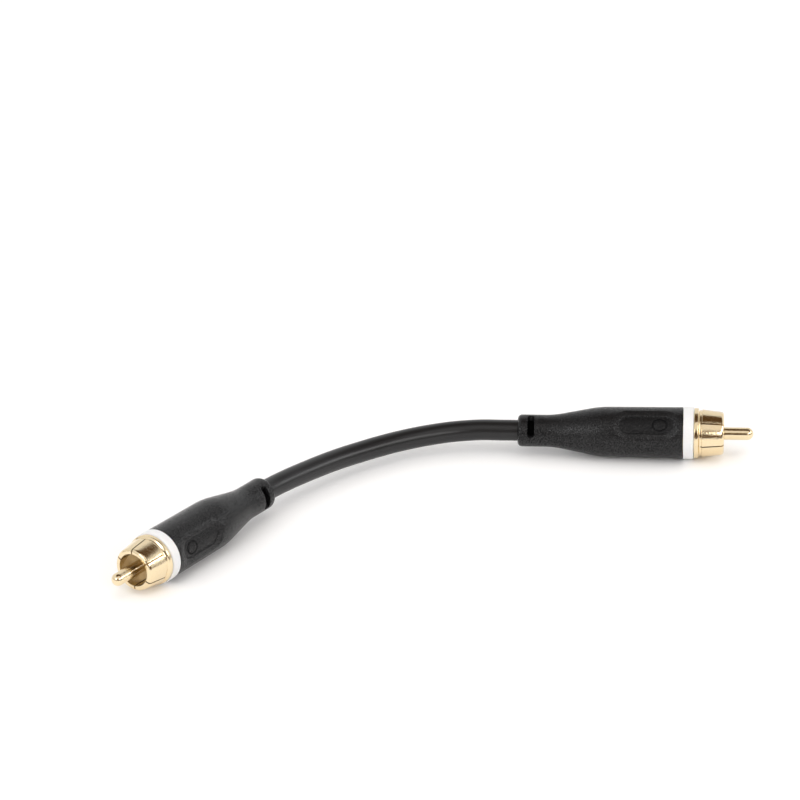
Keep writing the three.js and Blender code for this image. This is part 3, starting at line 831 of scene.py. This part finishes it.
def mouldedAbs():
    # White ABS ring: even and satin, with barely any grain; a little light scatters inside it
    f = bandFinish
    material, tree, shader = newMaterial("whiteAbs")
    place = addNode(tree, "ShaderNodeTexCoord").outputs["Object"]
    cloud = addNode(tree, "ShaderNodeTexNoise", None, Vector=place,
                    Scale=1 / (f["cloud"] * mm), Detail=2.0)
    tone = addNode(tree, "ShaderNodeValToRGB", None, Fac=cloud.outputs["Fac"])
    for stop, colour in zip(tone.color_ramp.elements, f["tones"]):
        stop.color = linear(colour)
    tree.links.new(tone.outputs["Color"], shader.inputs["Base Color"])
    bump = addNode(tree, "ShaderNodeBump", None, Strength=0.3, Distance=f["depth"] * mm,
                   Height=cloud.outputs["Fac"])
    tree.links.new(bump.outputs["Normal"], shader.inputs["Normal"])
    shader.inputs["Roughness"].default_value = f["roughness"]
    shader.inputs["Subsurface Weight"].default_value = f["scatter"]
    shader.inputs["Subsurface Scale"].default_value = f["scatterDepth"] * mm
    return material


goldFinish = {
    "ringsPerMm": 9.0, "bathPerMm": 2.2, "bathShare": 0.85, "depth": 0.05,
    "tones": ("#e9d3aa", "#f0dfbe"), "ringSpan": (0.3, 0.7), "roughness": (0.12, 0.2),
}


def goldPlate():
    # Bright gold over turned brass: fine rings from the lathe under the plate, and a
    # slightly uneven bath that mottles the highlight
    f = goldFinish
    material, tree, shader = newMaterial("goldPlate")
    own = addNode(tree, "ShaderNodeAttribute", {"attribute_name": "plugPlace"})
    split = addNode(tree, "ShaderNodeSeparateXYZ", None, Vector=own.outputs["Vector"])
    rings = addNode(tree, "ShaderNodeTexNoise", {"noise_dimensions": "1D"},
                    W=split.outputs["X"], Scale=f["ringsPerMm"], Detail=3.0)
    bath = addNode(tree, "ShaderNodeTexNoise", None, Vector=own.outputs["Vector"],
                   Scale=f["bathPerMm"], Detail=3.0)
    height = addNode(tree, "ShaderNodeMix", {"data_type": "FLOAT"}, Factor=f["bathShare"],
                     A=rings.outputs["Fac"], B=bath.outputs["Fac"])
    bump = addNode(tree, "ShaderNodeBump", None, Strength=0.7, Distance=f["depth"] * mm,
                   Height=height.outputs[0])
    tone = addNode(tree, "ShaderNodeValToRGB", None, Fac=bath.outputs["Fac"])
    for stop, colour in zip(tone.color_ramp.elements, f["tones"]):
        stop.color = linear(colour)
    tree.links.new(tone.outputs["Color"], shader.inputs["Base Color"])
    tree.links.new(bump.outputs["Normal"], shader.inputs["Normal"])
    valley, ridge = f["ringSpan"]
    smooth, rough = f["roughness"]
    shine = addNode(tree, "ShaderNodeMapRange", None, Value=rings.outputs["Fac"],
                    in1=valley, in2=ridge, in3=smooth, in4=rough)
    tree.links.new(shine.outputs[0], shader.inputs["Roughness"])
    shader.inputs["Metallic"].default_value = 1.0
    return material


# Plain finishes, for the nylon bush and for the pieces inside, which keep their CAD shapes:
# two tones, a grain in mm, roughness and metal
plainFinishes = {
    "polythene": ("#d3d6d3", "#e0e2df", 0.8, 0.5, 0.0),
    "bareBrass": ("#b8934c", "#d0ab62", 0.3, 0.32, 1.0),
    "tinSolder": ("#aeb1b4", "#c6c8ca", 0.4, 0.28, 1.0),
    "foamedPolythene": ("#e4e4df", "#f1f1ec", 0.25, 0.6, 0.0),
    "copperBraid": ("#a9623a", "#d08a58", 0.2, 0.3, 1.0),
    "drawnCopper": ("#c27a4c", "#d48e60", 0.6, 0.25, 1.0),
    "nylonBush": ("#f4e9d2", "#faf2e2", 0.7, 0.45, 0.0),
}


def plainFinish(name):
    dark, pale, size, roughness, metal = plainFinishes[name]
    material, tree, shader = newMaterial(name)
    place = addNode(tree, "ShaderNodeTexCoord").outputs["Object"]
    cloud = addNode(tree, "ShaderNodeTexNoise", None, Vector=place, Scale=1 / (size * mm),
                    Detail=2.0)
    tone = addNode(tree, "ShaderNodeValToRGB", None, Fac=cloud.outputs["Fac"])
    tone.color_ramp.elements[0].color = linear(dark)
    tone.color_ramp.elements[1].color = linear(pale)
    tree.links.new(tone.outputs["Color"], shader.inputs["Base Color"])
    shader.inputs["Roughness"].default_value = roughness
    shader.inputs["Metallic"].default_value = metal
    return material


insideNodes = {
    "inner_mould": "polythene", "crimp_ferrule": "bareBrass", "solder_joint": "tinSolder",
}
leadNodes = {
    "braid_shield": "copperBraid", "dielectric": "foamedPolythene",
    "centre_conductor": "drawnCopper",
}


def dressInside():
    made = {name: plainFinish(name) for name in plainFinishes}
    finishOf = dict(leadNodes)
    for tag in lay["plugs"]:
        finishOf.update({f"{node}_{tag}": name for node, name in insideNodes.items()})
    for node, name in finishOf.items():
        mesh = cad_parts[node].data
        mesh.materials.clear()
        mesh.materials.append(made[name])
    return made


# Build
pvc = sparkErodedPvc()
gold = goldPlate()
white = mouldedAbs()
buildLead(extrudedPvc())
made = dressInside()
for tag in lay["plugs"]:
    place = plugMatrix(tag)
    skin = bootMesh(f"boot_{tag}_skin")
    finishMesh(skin, place, boot["crease"], pvc)
    addPiece(f"bootSkin_{tag}", skin, f"boot_{tag}")
    ring = turnedMesh(f"band_{tag}", bandOutline(), band["sides"])
    finishMesh(ring, place, band["crease"], white)
    addPiece(f"colourRing_{tag}", ring, f"colour_band_{tag}")
    bush = turnedMesh(f"bush_{tag}", insulatorOutline(), insulator["sides"])
    finishMesh(bush, place, insulator["crease"], made["nylonBush"])
    addPiece(f"nylonBush_{tag}", bush, f"insulator_{tag}")
    contact = turnedMesh(f"pin_{tag}", pinOutline(), pin["sides"])
    finishMesh(contact, place, pin["crease"], gold)
    addPiece(f"centrePin_{tag}", contact, f"centre_pin_{tag}")
    petals = shellMesh(f"shell_{tag}", gold)
    turned = plugMatrix(tag, lay["plugs"][tag]["shellTurn"])
    finishMesh(petals, turned, shell["crease"], gold)
    addPiece(f"splitShell_{tag}", petals, f"contact_shell_{tag}")
    print("plug", tag, "dressed")


# Studio: a pale floor, a softbox over the camera, a small one at its left and a long strip at
# its right, a broad ceiling panel and a low fill from the left for the socket of plug b, in
# a room with pale walls behind the cable and at its sides, open to the dark above them and
# round the camera
studio = {
    "floorSize": 14.0, "floorColour": "#ffffff", "floorRoughness": 0.9,  # lengths in metres
    "lamps": {
        "softbox": {"place": (-0.1, -0.6, 1.02), "size": (1.3, 0.85), "level": 0.86},
        "leftBox": {"place": (-0.93, -0.47, 0.59), "size": (0.45, 0.45), "level": 3.8},
        "stripBox": {"place": (0.55, -1.0, 0.64), "size": (2.0, 0.36), "level": 3.9},
        "ceiling": {"place": (0.0, 0.0, 2.5), "size": (3.0, 3.0), "level": 0.95},
        "fill": {"place": (-1.16, -0.3, 0.32), "size": (0.5, 0.4), "level": 2.6},
    },
    "unseenInMetal": ["ceiling", "fill"],
    "back": (0.463, 0.886, 0.0),  # level, straight away from the camera
    "side": (0.886, -0.463, 0.0),  # level, to the right of the camera
    # the walls' top edge and its drop to the right, as heights on a sphere of sky, and
    # where each of their edges fades
    "walls": {"top": 0.88, "drop": 0.17, "topFade": (0.0, 0.14), "footFade": (0.02, 0.14),
              "openFoot": (0.3, 0.5), "sideShare": 0.5, "leftInset": 0.1,
              "sideFade": (0.15, 0.35)},
    "wallLevel": 0.95, "darkLevel": 0.4, "darkColour": "#866642",
}


def areaLamp(name, facts):
    data = bpy.data.lights.new(name, "AREA")
    data.shape = "RECTANGLE"
    data.size, data.size_y = facts["size"]
    data.energy = facts["level"] * math.pi * data.size * data.size_y
    lamp = bpy.data.objects.new(name, data)
    bpy.context.scene.collection.objects.link(lamp)
    lamp.location = facts["place"]
    lamp.rotation_euler = (-Vector(facts["place"])).to_track_quat("-Z", "Y").to_euler()
    lamp.visible_glossy = name not in studio["unseenInMetal"]


# The walls are soft-edged patches of sky: their top edge drops to the right, and at the
# sides they stop a little above the floor
def paintRoom(tree):
    way = addNode(tree, "ShaderNodeTexCoord").outputs["Generated"]
    height = addNode(tree, "ShaderNodeSeparateXYZ", None, Vector=way).outputs["Z"]

    def along(key):
        return addNode(tree, "ShaderNodeVectorMath", {"operation": "DOT_PRODUCT"}, in0=way,
                       in1=studio[key]).outputs["Value"]

    def fade(value, ends):
        return addNode(tree, "ShaderNodeMapRange", {"interpolation_type": "SMOOTHSTEP"},
                       Value=value, in1=ends[0], in2=ends[1]).outputs[0]

    def combine(kind, a, b):
        return addNode(tree, "ShaderNodeMath", {"operation": kind}, in0=a, in1=b).outputs[0]

    behind = along("back")
    right = along("side")
    walls = studio["walls"]
    top = combine("SUBTRACT", walls["top"], combine("MULTIPLY", right, walls["drop"]))
    under = fade(combine("SUBTRACT", top, height), walls["topFade"])
    foot = combine("MAXIMUM", fade(behind, walls["openFoot"]), fade(height, walls["footFade"]))
    backAndRight = combine("ADD", behind, combine("MULTIPLY", right, walls["sideShare"]))
    left = combine("SUBTRACT", -walls["leftInset"], right)
    sides = fade(combine("MAXIMUM", backAndRight, left), walls["sideFade"])
    wall = combine("MULTIPLY", combine("MULTIPLY", under, foot), sides)
    tone = addNode(tree, "ShaderNodeMix", {"data_type": "RGBA"}, Factor=wall)
    dark = [c * studio["darkLevel"] for c in linear(studio["darkColour"])[:3]]
    tone.inputs["A"].default_value = (*dark, 1.0)
    tone.inputs["B"].default_value = (*[studio["wallLevel"]] * 3, 1.0)
    tree.links.new(tone.outputs[2], tree.nodes["Background"].inputs["Color"])


def buildStudio():
    half = studio["floorSize"] / 2
    mesh = bpy.data.meshes.new("floor")
    mesh.from_pydata([(-half, -half, 0), (half, -half, 0), (half, half, 0), (-half, half, 0)],
                     [], [(0, 1, 2, 3)])
    floor = bpy.data.objects.new("floor", mesh)
    bpy.context.scene.collection.objects.link(floor)
    material, tree, shader = newMaterial("paperSweep")
    shader.inputs["Base Color"].default_value = linear(studio["floorColour"])
    shader.inputs["Roughness"].default_value = studio["floorRoughness"]
    mesh.materials.append(material)
    for name, facts in studio["lamps"].items():
        areaLamp(name, facts)
    world = bpy.data.worlds.new("room")
    bpy.context.scene.world = world
    world.use_nodes = True
    paintRoom(world.node_tree)
    bpy.context.scene.view_settings.view_transform = "Standard"


buildStudio()
print("studio set")

bpy.context.view_layer.update()
